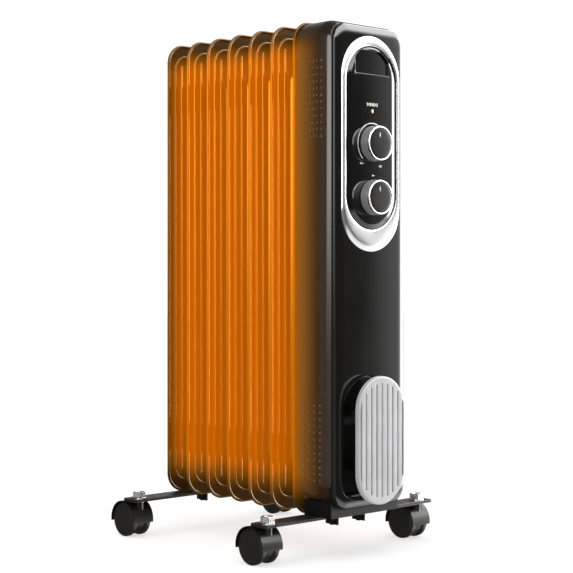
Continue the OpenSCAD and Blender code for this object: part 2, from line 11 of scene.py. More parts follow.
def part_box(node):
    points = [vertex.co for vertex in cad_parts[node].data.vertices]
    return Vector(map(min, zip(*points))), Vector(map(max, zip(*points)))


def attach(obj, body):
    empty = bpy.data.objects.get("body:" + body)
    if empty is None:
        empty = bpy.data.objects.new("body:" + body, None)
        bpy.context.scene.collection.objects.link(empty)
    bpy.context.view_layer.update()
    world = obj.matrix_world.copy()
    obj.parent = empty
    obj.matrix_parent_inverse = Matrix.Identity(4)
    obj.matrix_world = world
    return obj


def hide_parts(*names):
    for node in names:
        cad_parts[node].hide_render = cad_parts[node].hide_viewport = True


bl_info = {
    "name": "Oil Filled Radiator Heater",
    "version": (1, 0, 0),
    "blender": (4, 5, 0),
    "location": "View3D > Sidebar > Heater",
    "description": "Builds the visible pieces, finishes and stage of a seven fin radiator heater",
    "category": "Object",
}

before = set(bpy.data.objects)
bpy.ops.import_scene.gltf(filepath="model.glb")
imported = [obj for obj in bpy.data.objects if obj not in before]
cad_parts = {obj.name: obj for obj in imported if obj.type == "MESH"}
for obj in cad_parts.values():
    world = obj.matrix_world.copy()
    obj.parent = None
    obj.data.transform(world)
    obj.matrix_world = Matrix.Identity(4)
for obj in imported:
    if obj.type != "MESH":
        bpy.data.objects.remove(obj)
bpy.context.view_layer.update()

MM = 0.001
TINY = 1e-6  # points nearer than a few of these are welded
FRAME_BODY = "heater_frame"
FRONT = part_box("front_cover")[0].y
CORNERS = ("front_left", "front_right", "rear_left", "rear_right")
FINS = ["fin_%d" % i for i in range(1, 8)]
KNOB_HEIGHTS = {"thermostat": 430.1 * MM, "selector": 374.2 * MM}
LAMP_HEIGHT = 464 * MM
PANEL_FACE = -2.4  # depth of the control panel's raised face, in millimetres
STEM_X = 110.7 * MM  # from the middle to the casters' stems
BAR_DEPTH = 25 * MM
SUNK = 0.12  # how far below a fin's flat sheet its ridges start, in millimetres
DUST_COLOUR = (0.35, 0.34, 0.32, 1)
# finishes that take another finish's slot in the record
TURN_TO_FRONT = Matrix.Rotation(math.radians(90), 4, "X")


# ---- sizes and colours that a user may change ----


class HeaterSizes(bpy.types.PropertyGroup):
    """Sizes of the visible detail, in metres"""

    ridge_width: FloatProperty(
        name="Ridge width", description="Width of the beads pressed in a fin",
        default=2.9 * MM, min=1 * MM, max=5 * MM, unit="LENGTH")
    ridge_height: FloatProperty(
        name="Ridge height", description="How far a bead stands out from a fin's sheet",
        default=1.5 * MM, min=0.5 * MM, max=3 * MM, unit="LENGTH")
    vent_radius: FloatProperty(
        name="Vent radius", description="Radius of a vent hole in the side shell",
        default=1.05 * MM, min=0.5 * MM, max=2 * MM, unit="LENGTH")
    corner_segments: IntProperty(
        name="Corner segments", description="Faces round a quarter of a rounded corner",
        default=14, min=4, max=32)
    mark_height: FloatProperty(
        name="Mark height", description="Thickness of the printed marks on the panel",
        default=0.08 * MM, min=0.02 * MM, max=0.3 * MM, unit="LENGTH")


class HeaterColours(bpy.types.PropertyGroup):
    """Colours of the finishes"""

    # The heat glow colour is painted light: an orange emission and paint on the fins, which are no
    # lamp; the enamel is the fins' own dark colour where that painted glow fades out.
    glow: FloatVectorProperty(
        name="Heat glow", description="Colour of the fins where they are hottest",
        default=(0.34, 0.086, 0.0), size=3, subtype="COLOR", min=0, max=1)
    enamel: FloatVectorProperty(
        name="Enamel", description="Colour of the cool enamel on the fins",
        default=(0.007, 0.005, 0.003), size=3, subtype="COLOR", min=0, max=1)
    housing: FloatVectorProperty(
        name="Housing", description="Colour of the black housing",
        default=(0.0055, 0.005, 0.0045), size=3, subtype="COLOR", min=0, max=1)
    plate: FloatVectorProperty(
        name="Plate", description="Colour of the silver cord plate",
        default=(0.44, 0.44, 0.445), size=3, subtype="COLOR", min=0, max=1)
    lamp: FloatVectorProperty(
        name="Lamp", description="Colour of the power lamp",
        default=(0.9, 0.26, 0.01), size=3, subtype="COLOR", min=0, max=1)


def sizes():
    return bpy.context.scene.heater_sizes


def colours():
    return bpy.context.scene.heater_colours


# ---- modelling helpers ----


def depth(value):
    """Y of a depth in millimetres behind the front cover's face."""
    return FRONT + value * MM


def round_face(bm, left, right, low, high, y, upper, lower, segments):
    """A face towards the front with rounded corners, in metres."""
    before = set(bm.faces)
    size = Matrix.Diagonal(((right - left) / 2, (high - low) / 2, 1, 1))
    place = Matrix.Translation(((left + right) / 2, y, (low + high) / 2))
    corners = bmesh.ops.create_grid(bm, x_segments=1, y_segments=1, size=1,
                                    matrix=place @ TURN_TO_FRONT @ size)["verts"]
    middle = (low + high) / 2
    widest = min(right - left, high - low) / 2 - TINY
    for radius, group in ((upper, [v for v in corners if v.co.z > middle]),
                          (lower, [v for v in corners if v.co.z < middle])):
        if radius > 0:
            bmesh.ops.bevel(bm, geom=group, offset=min(radius, widest), offset_type="OFFSET",
                            segments=segments, profile=0.5, affect="VERTICES", material=-1,
                            clamp_overlap=False)
    rim = {v for f in bm.faces if f not in before for v in f.verts}
    bmesh.ops.remove_doubles(bm, verts=list(rim), dist=6 * TINY)
    made = [f for f in bm.faces if f not in before]
    if len(made) != 1:
        raise RuntimeError("a rounded face came out as %d faces" % len(made))
    made[0].normal_update()
    if made[0].normal.y > 0:
        made[0].normal_flip()
    return made[0]


def press(bm, face, steps, scale=MM):
    """Rings inside a face: each step goes in and out along its normal, in millimetres."""
    for inset, rise in steps:
        bmesh.ops.inset_region(bm, faces=[face], thickness=inset * scale, depth=rise * scale,
                               use_even_offset=True, use_boundary=True)


def round_back(half, height, count):
    """Press steps of 18 degrees over a round back: 5 reach its top and 10 its far side."""
    turns = [math.radians(18 * k) for k in range(count + 1)]
    return [(half * (math.cos(a) - math.cos(b)), height * (math.sin(b) - math.sin(a)))
            for a, b in zip(turns, turns[1:])]


def only(kind, geom):
    return [g for g in geom if isinstance(g, kind)]


def thicken(bm, rise):
    """Gives every flat face a thickness along Y, in metres."""
    walls = bmesh.ops.extrude_face_region(bm, geom=bm.faces[:])["geom"]
    bmesh.ops.translate(bm, vec=(0, rise, 0), verts=only(bmesh.types.BMVert, walls))


def open_field(bm, field, mouths):
    """Turns a face into a flat field with a hole for each mouth face, which stay faces."""
    rims = [list(m.edges) for m in mouths]
    edges = list(field.edges) + [e for rim in rims for e in rim]
    normal = field.normal.copy()
    for f in [field] + list(mouths):
        bm.faces.remove(f)
    bmesh.ops.triangle_fill(bm, use_beauty=True, edges=edges, normal=normal)
    faces = []
    for rim in rims:
        face = bmesh.ops.edgeloop_fill(bm, edges=rim)["faces"][0]
        face.normal_update()
        if face.normal.y > 0:
            face.normal_flip()
        faces.append(face)
    return faces


def spun(bm, points, axis_z, steps):
    """A turned shape round an axis along Y. Points are (radius, depth) in millimetres."""
    verts = [bm.verts.new((r * MM, depth(d), axis_z)) for r, d in points]
    edges = [bm.edges.new(pair) for pair in zip(verts, verts[1:])]
    bmesh.ops.spin(bm, geom=verts + edges, cent=(0, 0, axis_z), axis=(0, 1, 0),
                   angle=math.tau, steps=steps, use_merge=True)


def lofted(bm, rings):
    """Bridges outlines of one vertex count, given as lists of edges, in order."""
    for a, b in zip(rings, rings[1:]):
        bmesh.ops.bridge_loops(bm, edges=a + b)


def outline(bm, half, low, high, y, upper, lower, segments):
    """The edges of a rounded outline, all in metres."""
    face = round_face(bm, -half, half, low, high, y, upper, lower, segments)
    edges = list(face.edges)
    bm.faces.remove(face)
    return edges


def bead(bm, left, right, low, high, base, width, height, segments):
    """A long rounded ridge with round ends that stands on a flat sheet."""
    radius = (right - left) / 2
    face = round_face(bm, left, right, low, high, base, radius, radius, segments)
    almost_closed = 0.97  # leaves a narrow face along the ridge's top
    press(bm, face, round_back(width / 2 * almost_closed, height, 5), 1.0)


def shade_smooth(mesh, angle=180):
    """Smooth shading with sharp edges above an angle in degrees."""
    for polygon in mesh.polygons:
        polygon.use_smooth = True
    if angle < 180:
        mesh.set_sharp_from_angle(angle=math.radians(angle))


def even_normals(piece):
    piece.modifiers.new("even_normals", "WEIGHTED_NORMAL").keep_sharp = True


def finish_mesh(name, bm, material, body=FRAME_BODY, hides=(), angle=40, outward=True):
    """Turns a bmesh into a piece: welded, facing outwards, shaded and fixed to a body."""
    bmesh.ops.remove_doubles(bm, verts=bm.verts, dist=2 * TINY)
    bmesh.ops.dissolve_degenerate(bm, dist=TINY, edges=bm.edges)
    loose = [v for v in bm.verts if not v.link_faces]
    bmesh.ops.delete(bm, geom=loose, context="VERTS")
    if outward:
        bmesh.ops.recalc_face_normals(bm, faces=bm.faces)
    mesh = bpy.data.meshes.new(name)
    bm.to_mesh(mesh)
    bm.free()
    shade_smooth(mesh, angle)
    mesh.materials.append(bpy.data.materials["heater_" + material])
    piece = bpy.data.objects.new(name, mesh)
    bpy.context.scene.collection.objects.link(piece)
    even_normals(piece)
    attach(piece, body)
    if hides:
        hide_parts(*hides)
    return piece


def finish_node(node, material, bevel):
    """Gives a CAD node its finish, soft edges of a width in millimetres and even shading."""
    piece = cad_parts[node]
    piece.data.materials.clear()
    piece.data.materials.append(bpy.data.materials["heater_" + material])
    shade_smooth(piece.data)
    weld = piece.modifiers.new("weld", "WELD")
    weld.merge_threshold = TINY
    if bevel:
        soft = piece.modifiers.new("soft_edges", "BEVEL")
        soft.width = bevel * MM
        soft.segments = 2
        soft.limit_method = "ANGLE"
        soft.angle_limit = math.radians(35)
        soft.harden_normals = True
    even_normals(piece)


# ---- shader helpers ----


def add_node(tree, kind, **values):
    node = tree.nodes.new(kind)
    for key, value in values.items():
        setattr(node, key, value)
    return node


def wire(tree, start, end):
    tree.links.new(start, end)


def put_in(tree, socket, value):
    """Sets a socket to a number or wires another socket to it."""
    if isinstance(value, bpy.types.NodeSocket):
        tree.links.new(value, socket)
    else:
        socket.default_value = value


def maths(tree, operation, a, b, clamp=False):
    node = add_node(tree, "ShaderNodeMath", operation=operation, use_clamp=clamp)
    put_in(tree, node.inputs[0], a)
    put_in(tree, node.inputs[1], b)
    return node.outputs[0]


def product(tree, first, *others):
    """All the values multiplied together."""
    for value in others:
        first = maths(tree, "MULTIPLY", first, value)
    return first


def mixed(tree, factor, a, b):
    """A colour between a and b."""
    node = add_node(tree, "ShaderNodeMix", data_type="RGBA")
    wire(tree, factor, node.inputs["Factor"])
    for socket, colour in zip([s for s in node.inputs if s.type == "RGBA"], (a, b)):
        put_in(tree, socket, colour)
    return [s for s in node.outputs if s.type == "RGBA"][0]


def noise(tree, place, scale, detail):
    node = add_node(tree, "ShaderNodeTexNoise")
    wire(tree, place, node.inputs["Vector"])
    put_in(tree, node.inputs["Scale"], scale)
    node.inputs["Detail"].default_value = detail
    return node.outputs["Fac"]


def object_place(tree):
    return add_node(tree, "ShaderNodeTexCoord").outputs["Object"]


def axes(tree, vector):
    split = add_node(tree, "ShaderNodeSeparateXYZ")
    wire(tree, vector, split.inputs[0])
    return split.outputs


def ease(tree, value, low, high, bottom=0.0, top=1.0):
    """Smooth step of a value from bottom at low to top at high."""
    node = add_node(tree, "ShaderNodeMapRange", interpolation_type="SMOOTHSTEP")
    put_in(tree, node.inputs["Value"], value)
    put_in(tree, node.inputs["From Min"], low)
    put_in(tree, node.inputs["From Max"], high)
    put_in(tree, node.inputs["To Min"], bottom)
    put_in(tree, node.inputs["To Max"], top)
    return node.outputs["Result"]


def new_group(name, inputs, outputs):
    """A shader node group with named sockets: (name, type, default)."""
    tree = bpy.data.node_groups.new(name, "ShaderNodeTree")
    for label, kind, default in inputs:
        socket = tree.interface.new_socket(name=label, in_out="INPUT", socket_type=kind)
        socket.default_value = default
    for label, kind in outputs:
        tree.interface.new_socket(name=label, in_out="OUTPUT", socket_type=kind)
    return tree, tree.nodes.new("NodeGroupInput").outputs, tree.nodes.new("NodeGroupOutput").inputs


def use_group(tree, name, **values):
    """Puts a node group in a tree, with values or sockets for its inputs."""
    node = add_node(tree, "ShaderNodeGroup")
    node.node_tree = bpy.data.node_groups[name]
    for key, value in values.items():
        put_in(tree, node.inputs[key.replace("_", " ").capitalize()], value)
    return node.outputs


def make_painted_heat_glow():
    """Painted glow: orange emission and orange base paint on the fins, which are no lamp, fading
    towards the fins' ends and the last fin's edge, and a weaker painted glow spilling onto the
    side shell that fades towards the housing's seam.
    """
    tree, _, out = new_group("painted_heat_glow", [], [
        ("Painted heat", "NodeSocketFloat"), ("Painted glow", "NodeSocketColor"), ("Paint", "NodeSocketColor")])
    place = object_place(tree)
    x, y, z = axes(tree, place)
    low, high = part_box("fin_1")[0].z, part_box("fin_1")[1].z
    side = maths(tree, "ABSOLUTE", x, 0.0)
    cloud = maths(tree, "SUBTRACT", noise(tree, place, 14.0, 2.0), 0.5)
    height = maths(tree, "ADD", z, product(tree, cloud, 12 * MM))
    painted_heat_end = 0.07
    top = ease(tree, height, high - 38 * MM, high - 8 * MM, 1.0, painted_heat_end)
    bottom = ease(tree, height, low + 8 * MM, low + 52 * MM, painted_heat_end, 1.0)
    back = maths(tree, "ADD", product(tree, side, 0.74), product(tree, y, 0.67))
    edge = ease(tree, back, 116 * MM, 134 * MM, 1.0, 0.30)
    # painted glow spilling onto the side shell, weaker towards the front cover
    housing = ease(tree, y, depth(8), depth(54), 0.03, 0.48)
    on_fins = ease(tree, y, depth(48.5), depth(50.5))
    on_housing = maths(tree, "SUBTRACT", 1.0, on_fins)
    shell = maths(tree, "ADD", on_fins, product(tree, on_housing, housing))
    # the painted glow is about a fifth weaker towards the middle of each fin's width
    inner = ease(tree, side, 20 * MM, 55 * MM, 0.78, 1.0)
    heat = maths(tree, "MULTIPLY", product(tree, top, bottom, edge, shell), inner, clamp=True)
    # colours of the painted glow, from the dark enamel up to the glow colour
    ramp = add_node(tree, "ShaderNodeValToRGB")
    stops = ramp.color_ramp.elements
    stops[0].position, stops[0].color = 0.0, (0.004, 0.003, 0.0015, 1)
    stops[1].position, stops[1].color = 1.0, (*colours().glow, 1)
    for position, colour in ((0.12, (0.018, 0.009, 0.0015)), (0.28, (0.052, 0.022, 0.001)),
                             (0.5, (0.125, 0.043, 0.001)), (0.75, (0.235, 0.062, 0.001))):
        stops.new(position).color = (*colour, 1)
    wire(tree, heat, ramp.inputs["Fac"])
    # orange base paint that goes with the painted glow
    painted_hot_base = (0.40, 0.125, 0.006, 1)
    wire(tree, heat, out["Painted heat"])
    wire(tree, ramp.outputs["Color"], out["Painted glow"])
    wire(tree, mixed(tree, heat, (*colours().enamel, 1), painted_hot_base), out["Paint"])


def make_fine_grain():
    """Fine moulded or sprayed grain, slow unevenness of tone and roughness, and dust on top."""
    tree, given, out = new_group("fine_grain", [
        ("Scale", "NodeSocketFloat", 900.0), ("Wave scale", "NodeSocketFloat", 30.0),
        ("Roughness", "NodeSocketFloat", 0.3), ("Spread", "NodeSocketFloat", 0.06)], [
        ("Height", "NodeSocketFloat"), ("Roughness", "NodeSocketFloat"),
        ("Dust", "NodeSocketFloat"), ("Tone", "NodeSocketFloat")])
    place = object_place(tree)
    grain = noise(tree, place, given["Scale"], 2.0)
    wave = noise(tree, place, given["Wave scale"], 3.0)
    uneven = maths(tree, "SUBTRACT", wave, 0.5)
    swing = product(tree, given["Spread"], 2.0)
    rough = maths(tree, "ADD", given["Roughness"], product(tree, uneven, swing), clamp=True)
    facing = add_node(tree, "ShaderNodeNewGeometry").outputs["Normal"]
    upward = ease(tree, axes(tree, facing)[2], 0.6, 1.0)
    wire(tree, maths(tree, "ADD", grain, product(tree, wave, 0.6)), out["Height"])
    wire(tree, rough, out["Roughness"])
    wire(tree, product(tree, upward, ease(tree, wave, 0.42, 0.7)), out["Dust"])
    wire(tree, ease(tree, wave, 0.35, 0.65), out["Tone"])


def make_edge_wear_and_glint():
    """Thin brightening of raised edges, broken up by noise: wear on the foot bars, and a painted
    highlight on the chrome nuts and the silver cord plate.
    """
    tree, given, out = new_group("edge_wear_and_glint", [
        ("Amount", "NodeSocketFloat", 0.5), ("Scale", "NodeSocketFloat", 160.0)],
        [("Wear and glint", "NodeSocketFloat")])
    broken = ease(tree, noise(tree, object_place(tree), given["Scale"], 4.0), 0.4, 0.65)
    point = add_node(tree, "ShaderNodeNewGeometry").outputs["Pointiness"]
    edge = ease(tree, point, 0.53, 0.62)
    wire(tree, product(tree, edge, broken, given["Amount"]), out["Wear and glint"])


def make_finish(name, colour, roughness, metallic=0.0, grain=900.0, wave=30.0, spread=0.05,
                bump=0.02, wear_and_glint=0.0, wear_and_glint_colour=(0.3, 0.3, 0.3), dust=0.0, coat=0.0, ior=1.5,
                tint=None, glow=None, glow_strength=1.0, heat=False, painted_heat_metal=0.2):
    """A Principled finish with the shared grain, the edge wear that is partly a painted highlight,
    and the painted heat glow.
    """
    material = bpy.data.materials.new("heater_" + name)
    material.use_nodes = True
    material.diffuse_color = (*colour, 1)
    tree = material.node_tree
    shader = tree.nodes["Principled BSDF"]
    shader.inputs["IOR"].default_value = ior
    if tint is not None:
        shader.inputs["Specular Tint"].default_value = (*tint, 1)
    grains = use_group(tree, "fine_grain", scale=grain, wave_scale=wave, roughness=roughness,
                       spread=spread)
    wire(tree, grains["Roughness"], shader.inputs["Roughness"])
    bumps = add_node(tree, "ShaderNodeBump")
    bumps.inputs["Strength"].default_value = bump
    bumps.inputs["Distance"].default_value = 0.2 * MM
    wire(tree, grains["Height"], bumps.inputs["Height"])
    wire(tree, bumps.outputs["Normal"], shader.inputs["Normal"])
    # painted glow: emission, orange base paint and orange-tinted reflections from a metallic
    # share, all following the painted heat mask
    if heat:
        painted_warmth = use_group(tree, "painted_heat_glow")
        base = painted_warmth["Paint"]
        wire(tree, painted_warmth["Painted glow"], shader.inputs["Emission Color"])
        shader.inputs["Emission Strength"].default_value = glow_strength
        wire(tree, product(tree, painted_warmth["Painted heat"], painted_heat_metal), shader.inputs["Metallic"])
    else:
        shader.inputs["Metallic"].default_value = metallic
        dark, light = [(*[min(1.0, share * part) for part in colour], 1)
                       for share in (0.94, 1.05)]
        base = mixed(tree, grains["Tone"], dark, light)
    if glow is not None:
        shader.inputs["Emission Color"].default_value = (*glow, 1)
        shader.inputs["Emission Strength"].default_value = glow_strength
    # brighter raised edges: wear on the foot bars, a painted highlight on the chrome nuts and the
    # silver plate
    if wear_and_glint:
        base = mixed(tree, use_group(tree, "edge_wear_and_glint", amount=wear_and_glint)["Wear and glint"], base,
                     (*wear_and_glint_colour, 1))
    if dust:
        base = mixed(tree, product(tree, grains["Dust"], dust), base, DUST_COLOUR)
    wire(tree, base, shader.inputs["Base Color"])
    if coat:
        shader.inputs["Coat Weight"].default_value = coat
        shader.inputs["Coat Roughness"].default_value = 0.06


# ---- operators ----


class HEATER_OT_finishes(bpy.types.Operator):
    """Build the shared effects and every finish of the heater"""

    bl_idname = "heater.finishes"
    bl_label = "Finishes"

    def execute(self, context):
        make_painted_heat_glow()
        make_fine_grain()
        make_edge_wear_and_glint()
        black = tuple(colours().housing)
        # the fins, collectors and side shell carry the painted heat glow
        make_finish("fin_enamel", colours().enamel, 0.17, grain=500, wave=60, bump=0.03,
                    heat=True, painted_heat_metal=0.60, tint=(1.0, 0.55, 0.14), ior=1.55)
        make_finish("collector_enamel", colours().enamel, 0.35, grain=500, bump=0.03,
                    heat=True)
        make_finish("shell_enamel", black, 0.14, grain=700, heat=True, painted_heat_metal=0.0)
        # lighter brown on the vent holes' countersunk walls: painted highlight specks on the dark
        # shell
        make_finish("vent_rim", (0.28, 0.20, 0.11), 0.5)
        make_finish("housing_black", black, 0.06, grain=700, wave=22, bump=0.015, spread=0.03)
        make_finish("panel_black", (0.004, 0.004, 0.004), 0.06, ior=1.42, grain=400, wave=18,
                    bump=0.008, spread=0.02)
        make_finish("bezel_chrome", (0.42, 0.42, 0.43), 0.20, metallic=1.0, bump=0.006,
                    spread=0.03)
        make_finish("ring_chrome", (0.90, 0.90, 0.90), 0.10, metallic=1.0, bump=0.006)
        # its bright edges are a painted highlight
        make_finish("nut_chrome", (0.66, 0.66, 0.67), 0.22, metallic=1.0, grain=1200, bump=0.05,
                    wear_and_glint=0.3, wear_and_glint_colour=(0.85, 0.85, 0.85))
        # its bright edges are a painted highlight
        make_finish("plate_silver", colours().plate, 0.34, grain=2200, bump=0.03, wear_and_glint=0.15,
                    wear_and_glint_colour=(0.9, 0.9, 0.9), coat=0.3)
        make_finish("knob_silver", (0.30, 0.30, 0.31), 0.42, metallic=0.55, grain=1500,
                    bump=0.25, spread=0.08)
        make_finish("cap_black", (0.014, 0.012, 0.010), 0.14, grain=1800, bump=0.03, ior=1.4)
        make_finish("mark_white", (0.78, 0.78, 0.77), 0.5, grain=1500, bump=0.05)
        make_finish("lamp_amber", colours().lamp, 0.15, glow=(1.0, 0.32, 0.02),
                    glow_strength=0.55, coat=1.0)
        make_finish("grip_black", (0.004, 0.004, 0.0035), 0.45, grain=1500, bump=0.1, ior=1.25)
        make_finish("pocket_black", (0.004, 0.004, 0.0035), 0.30, bump=0.05)
        make_finish("bar_black", (0.014, 0.0133, 0.0125), 0.30, grain=1400, bump=0.12, wear_and_glint=0.2,
                    wear_and_glint_colour=(0.12, 0.12, 0.12), dust=0.04, spread=0.08, ior=1.32)
        make_finish("hood_black", (0.008, 0.0075, 0.007), 0.32, bump=0.04, ior=1.28, dust=0.04)
        make_finish("hardware_black", (0.006, 0.0057, 0.0053), 0.45, grain=1300, bump=0.08,
                    ior=1.22)
        make_finish("wheel_black", (0.014, 0.013, 0.012), 0.33, grain=1300, bump=0.08,
                    dust=0.04, ior=1.38)
        make_finish("zinc_steel", (0.55, 0.55, 0.54), 0.28, metallic=1.0, grain=1500, bump=0.08)
        make_finish("element_steel", (0.32, 0.30, 0.29), 0.45, metallic=1.0, grain=1500, bump=0.1)
        make_finish("bob_steel", (0.36, 0.36, 0.36), 0.35, metallic=1.0, grain=1500, bump=0.1)
        make_finish("gasket_rubber", (0.012, 0.012, 0.012), 0.55, grain=1600, bump=0.15)
        make_finish("cutout_ceramic", (0.74, 0.71, 0.64), 0.5, grain=1200, bump=0.1)
        make_finish("switch_plastic", (0.6, 0.55, 0.42), 0.4, grain=1500, bump=0.08)
        make_finish("lead_insulation", (0.35, 0.02, 0.012), 0.45, grain=1500, bump=0.1)
        return {"FINISHED"}


class HEATER_OT_fins(bpy.types.Operator):
    """Build the seven pressed fins with rolled rims, ridges and oil channels"""

    bl_idname = "heater.fins"
    bl_label = "Fins"

    def execute(self, context):
        s = sizes()
        for node in FINS:
            low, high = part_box(node)
            middle = (low.y + high.y) / 2
            bm = bmesh.new()
            self.sheet(bm, low, high, middle, s)
            half = bm.verts[:] + bm.edges[:] + bm.faces[:]
            copy = bmesh.ops.duplicate(bm, geom=half)["geom"]
            bmesh.ops.scale(bm, vec=(1, -1, 1), verts=only(bmesh.types.BMVert, copy),
                            space=Matrix.Translation((0, -middle, 0)))
            bmesh.ops.reverse_faces(bm, faces=only(bmesh.types.BMFace, copy))
            finish_mesh(node + "_pressed", bm, "fin_enamel", hides=(node,), angle=50,
                        outward=False)
        return {"FINISHED"}

    def sheet(self, bm, low, high, middle, s):
        """The front half of a fin: rolled rim, frame ridge, two side ridges and oil channel."""
        n = s.corner_segments
        corner = 23 * MM
        face = round_face(bm, low.x, high.x, low.z, high.z, middle, corner, corner, n)
        press(bm, face, ((0.04, 0.45), (0.2, 0.42), (0.42, 0.33), (0.64, 0.16), (0.6, 0.0),
                         (0.5, -0.12), (0.42, -0.3), (0.35, -0.26), (0.45, -0.08), (1.2, 0.0)))
        base = middle - (0.6 - SUNK) * MM
        width, rise = s.ridge_width, s.ridge_height + SUNK * MM
        self.frame_ridge(bm, low, high, base, width, rise, n)
        x = (high.x - low.x) / 2 - 19.8 * MM
        end = 24 * MM
        for middle_x in (-x, x):
            bead(bm, middle_x - width / 2, middle_x + width / 2, low.z + end, high.z - end,
                 base, width, rise, 8)
        self.channel(bm, low, high, base, n)

    def frame_ridge(self, bm, low, high, base, width, rise, n):
        side, end, radius = 9.1 * MM, 12.2 * MM, 17 * MM
        face = round_face(bm, low.x + side, high.x - side, low.z + end, high.z - end, base,
                          radius, radius, n)
        press(bm, face, round_back(width / 2, rise, 10), 1.0)
        bmesh.ops.delete(bm, geom=[face], context="FACES_ONLY")

    def channel(self, bm, low, high, base, n):
        """The raised oil channel with two long grooves in its top."""
        side, end, radius = 26.5 * MM, 39.5 * MM, 20 * MM
        face = round_face(bm, low.x + side, high.x - side, low.z + end, high.z - end, base,
                          radius, radius, n)
        press(bm, face, ((0.7, 0.12), (0.8, 0.5), (0.8, 0.85), (0.8, 1.0), (0.8, 0.9),
                         (0.8, 0.75), (0.9, 0.5), (1.0, 0.25), (1.4, 0.1)))
        half, groove_end, top = 3.6 * MM, 112 * MM, face.verts[0].co.y
        grooves = [round_face(bm, x - half, x + half, low.z + groove_end, high.z - groove_end,
                              top, half, half, 6) for x in (-10.2 * MM, 10.2 * MM)]
        for groove in open_field(bm, face, grooves):
            press(bm, groove, ((0.4, -0.1), (0.5, -0.5), (0.6, -0.9), (0.6, -0.8), (0.6, -0.4)))


class HEATER_OT_side_shell(bpy.types.Operator):
    """Build the side shell with its two patches of vent holes on each side"""

    bl_idname = "heater.side_shell"
    bl_label = "Side shell"

    def execute(self, context):
        bm = bmesh.new()
        bm.from_mesh(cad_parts["side_shell"].data)
        shell = finish_mesh("side_shell_vented", bm, "shell_enamel", hides=("side_shell",),
                            angle=30, outward=False)
        # the cut walls of the vent holes take the painted highlight finish
        shell.data.materials.append(bpy.data.materials["heater_vent_rim"])
        cutter = self.vent_cutter()
        shell.modifiers.clear()
        cut = shell.modifiers.new("vents", "BOOLEAN")
        cut.operation = "DIFFERENCE"
        cut.solver = "EXACT"
        cut.object = cutter
        made = bpy.data.meshes.new_from_object(
            shell.evaluated_get(bpy.context.evaluated_depsgraph_get()))
        shell.modifiers.clear()
        old = shell.data
        shell.data = made
        bpy.data.meshes.remove(old)
        made.name = "side_shell_vented"
        shade_smooth(made, 30)
        even_normals(shell)
        bpy.data.objects.remove(cutter)
        return {"FINISHED"}

    def vent_cutter(self):
        """Tapered cones at every vent hole, square to the shell's flat side or its bend."""
        bm = bmesh.new()
        radius = sizes().vent_radius
        inner, outer, length, past = radius * 0.45, radius * 1.35, 4.4 * MM, 0.9 * MM
        side_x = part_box("side_shell")[1].x
        bend = 20.0
        # depths of the columns and heights of the rows in each patch, in millimetres
        patches = (([13.0 + 5.08 * k for k in range(6)], [436.0 + 7.02 * k for k in range(12)]),
                   ([14.6 + 7.6 * k for k in range(4)], [82.8 + 7.03 * k for k in range(12)]))
        for columns, rows in patches:
            for column in columns:
                in_bend = max(0.0, bend - column)
                inset = bend - math.sqrt(bend * bend - in_bend * in_bend)
                tilt = math.asin(in_bend / bend)
                for row in rows:
                    for side in (-1, 1):
                        x = side * (side_x - inset * MM)
                        turn = (Matrix.Translation((x, depth(column), row * MM))
                                @ Matrix.Rotation(-side * tilt, 4, "Z")
                                @ Matrix.Rotation(side * math.radians(90), 4, "Y"))
                        bmesh.ops.create_cone(
                            bm, cap_ends=True, segments=10, radius1=inner,
                            radius2=outer, depth=length,
                            matrix=turn @ Matrix.Translation((0, 0, past - length / 2)))
        bmesh.ops.recalc_face_normals(bm, faces=bm.faces)
        mesh = bpy.data.meshes.new("vent_cutter")
        bm.to_mesh(mesh)
        bm.free()
        # the cutter's faces carry the painted highlight finish onto the cut walls
        for finish in ("shell_enamel", "vent_rim"):
            mesh.materials.append(bpy.data.materials["heater_" + finish])
        for polygon in mesh.polygons:
            polygon.material_index = 1
        cutter = bpy.data.objects.new("vent_cutter", mesh)
        bpy.context.scene.collection.objects.link(cutter)
        bpy.context.view_layer.update()
        return cutter


class HEATER_OT_front_cover(bpy.types.Operator):
    """Build the front cover with its crowned edge and the arched pocket for the cord"""

    bl_idname = "heater.front_cover"
    bl_label = "Front cover"

    def execute(self, context):
        n = sizes().corner_segments
        low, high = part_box("front_cover")
        bm = bmesh.new()
        corner = 18 * MM
        face = round_face(bm, low.x, high.x, low.z, high.z, depth(8), corner, corner, n)
        press(bm, face, ((0.02, 4.52), (0.12, 0.7), (0.3, 0.62), (0.5, 0.55), (0.7, 0.46),
                         (1.1, 0.4), (1.5, 0.3), (1.7, 0.2), (1.8, 0.13), (2.0, 0.08),
                         (2.2, 0.04)))
        half, floor, arch = 43 * MM, 62 * MM, 190 * MM
        mouth = round_face(bm, -half, half, floor, arch, face.verts[0].co.y, half, 19 * MM, n)
        pocket = open_field(bm, face, [mouth])[0]
        press(bm, pocket, ((0.25, -0.05), (0.3, -0.2), (0.25, -0.4), (0.2, -1.2), (0.35, -9.0),
                           (0.5, -0.6), (0.9, -0.35), (1.5, -0.1)))
        finish_mesh("front_cover_moulded", bm, "housing_black", hides=("front_cover",), angle=50)
        return {"FINISHED"}


